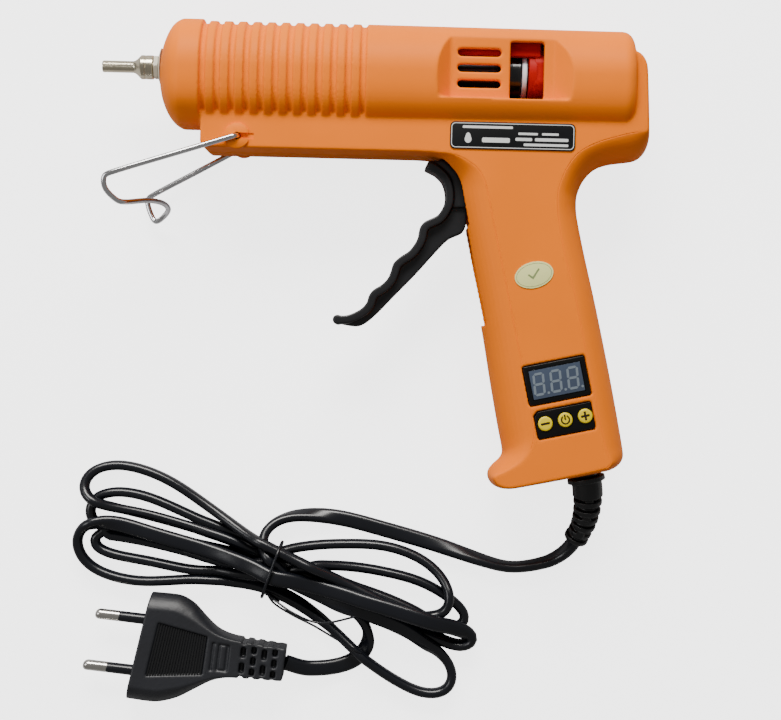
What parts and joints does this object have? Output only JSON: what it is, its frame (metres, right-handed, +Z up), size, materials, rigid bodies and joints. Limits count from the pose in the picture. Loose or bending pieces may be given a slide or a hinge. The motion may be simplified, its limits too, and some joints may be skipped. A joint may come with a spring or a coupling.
{
  "type": "hot melt glue gun",
  "caption": "Hot melt glue gun with ribbed barrel, trigger feed, wire stand, temperature display with buttons and a tied flat lead with a two-pin plug.",
  "frame": {"origin": "on the table, under the middle of the gun's bounding box without its free lead", "axes": "the gun lies on its right side: +X from the nozzle to the back, +Y from the handle's base to the barrel, +Z up through its thickness"},
  "size_m": [0.2084, 0.2536, 0.04],
  "materials": {
    "orange": "satin, lightly textured",
    "black": "satin",
    "rubber": "soft satin",
    "plated": "nickel plated, polished",
    "pale": "matte heat-resistant plastic",
    "chrome": "polished",
    "steel": "plain zinc",
    "aluminium": "as cast",
    "mica": "woven insulating sleeve",
    "white": "matte",
    "red": "satin gloss",
    "yellow": "printed membrane gloss",
    "label": "printed plate",
    "sticker": "coated paper",
    "lens": "clear tinted window",
    "board": "solder mask"
  },
  "bodies": {
    "gun": {"left_housing": "orange", "right_housing": "orange", "housing_screw_1": "steel", "housing_screw_2": "steel", "housing_screw_3": "steel", "housing_screw_4": "steel", "housing_screw_5": "steel", "housing_screw_6": "steel", "nozzle": "plated", "nozzle_collar": "pale", "nozzle_washer": "pale", "melt_chamber": "aluminium", "heater_plate": "white", "insulation_sleeve": "mica", "inlet_sleeve": "rubber", "sleeve_clip": "steel", "sleeve_ring": "white", "trigger_pin": "steel", "label_plate": "label", "inspection_sticker": "sticker", "display_frame": "black", "display_window": "lens", "button_panel": "black", "control_board": "board", "cord_clamp": "black", "cord_clamp_screw_1": "steel", "cord_clamp_screw_2": "steel", "inner_lead": "rubber", "strain_relief": "rubber", "lead": "rubber", "cord_hank": "rubber", "lead_tail": "rubber", "twist_tie": "rubber", "plug_body": "rubber", "plug_pin_lower": "chrome", "plug_pin_upper": "chrome"},
    "carriage": {"feed_carriage": "red", "drive_pin": "steel"},
    "clamp": {"stick_clamp": "steel"},
    "trigger": {"trigger": "black", "trigger_spring": "steel"},
    "stand": {"wire_stand": "chrome"},
    "minus": {"button_minus": "yellow"},
    "power": {"button_power": "yellow"},
    "plus": {"button_plus": "yellow"}
  },
  "joints": [
    {"name": "trigger_hinge", "type": "hinge", "parent": "gun", "child": "trigger", "pos_m": [0.03815, 0.04242, 0.02], "axis": [0, 0, 1], "range_deg": [0, 33], "stiffness_Nm_per_rad": 0.8, "springref_deg": -14.32, "deforming": ["trigger_spring"]},
    {"name": "carriage_slide", "type": "slide", "parent": "gun", "child": "carriage", "axis": [-1, 0, 0], "range_m": [0, 0.0116]},
    {"name": "clamp_tip", "type": "hinge", "parent": "carriage", "child": "clamp", "pos_m": [0.08005, 0.06882, 0.02], "axis": [0, 0, -1], "range_deg": [0, 6]},
    {"name": "stand_hinge", "type": "hinge", "parent": "gun", "child": "stand", "pos_m": [-0.04895, 0.05162, 0.02], "axis": [0, 0, 1], "range_deg": [-10, 80]},
    {"name": "minus_press", "type": "slide", "parent": "gun", "child": "minus", "axis": [0, 0, -1], "range_m": [0, 0.0007], "stiffness_N_per_m": 1500, "springref_m": -0.0002},
    {"name": "power_press", "type": "slide", "parent": "gun", "child": "power", "axis": [0, 0, -1], "range_m": [0, 0.0007], "stiffness_N_per_m": 1500, "springref_m": -0.0002},
    {"name": "plus_press", "type": "slide", "parent": "gun", "child": "plus", "axis": [0, 0, -1], "range_m": [0, 0.0007], "stiffness_N_per_m": 1500, "springref_m": -0.0002}
  ],
  "couplings": [
    {"joint": "carriage_slide", "follows": "trigger_hinge", "m_per_rad": 0.0198},
    {"joint": "clamp_tip", "follows": "trigger_hinge", "ratio": 0.17}
  ]
}
